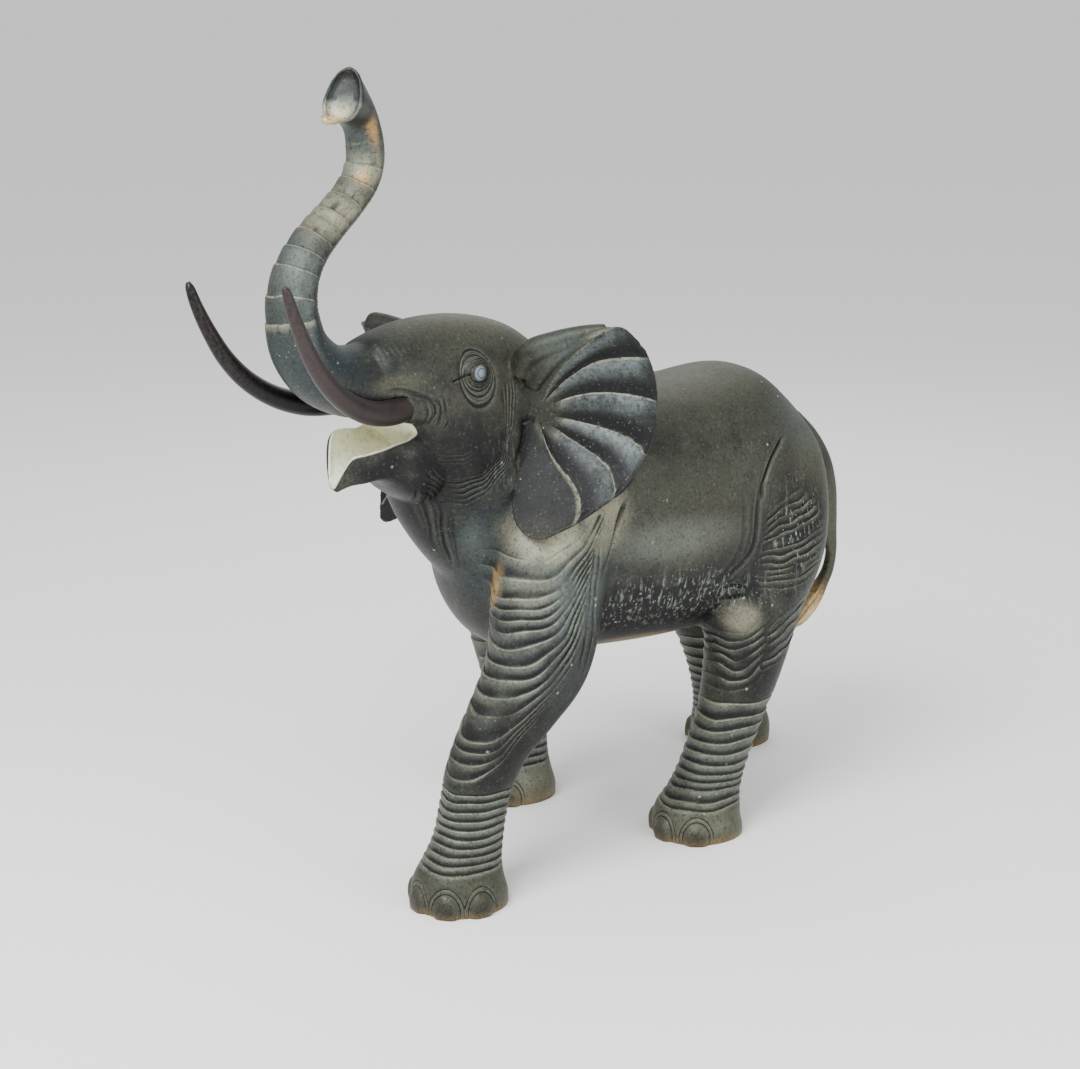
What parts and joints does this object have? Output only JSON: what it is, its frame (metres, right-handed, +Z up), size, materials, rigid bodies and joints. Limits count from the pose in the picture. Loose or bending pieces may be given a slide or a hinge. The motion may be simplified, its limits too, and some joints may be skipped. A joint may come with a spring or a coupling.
{
  "type": "elephant sculpture",
  "caption": "Walking elephant cast in bronze: trunk raised high in an S, ears flared, mouth open, tusks curving forward, with hide folds on cheeks, legs and thighs.",
  "frame": {"origin": "on the ground, under the middle of the whole part's box", "axes": "the elephant faces -Y, its left side is +X, and +Z is up, so the soles lie on Z = 0"},
  "size_m": [0.5314, 1.2598, 1.3088],
  "materials": {
    "hide_bronze": "cast bronze, dark green-black patina with pale verdigris on the raised folds",
    "tusk_bronze": "cast bronze, smooth, dark brown-black patina"
  },
  "bodies": {
    "root": {"elephant": "hide_bronze", "left_tusk": "tusk_bronze", "right_tusk": "tusk_bronze"}
  },
  "joints": []
}
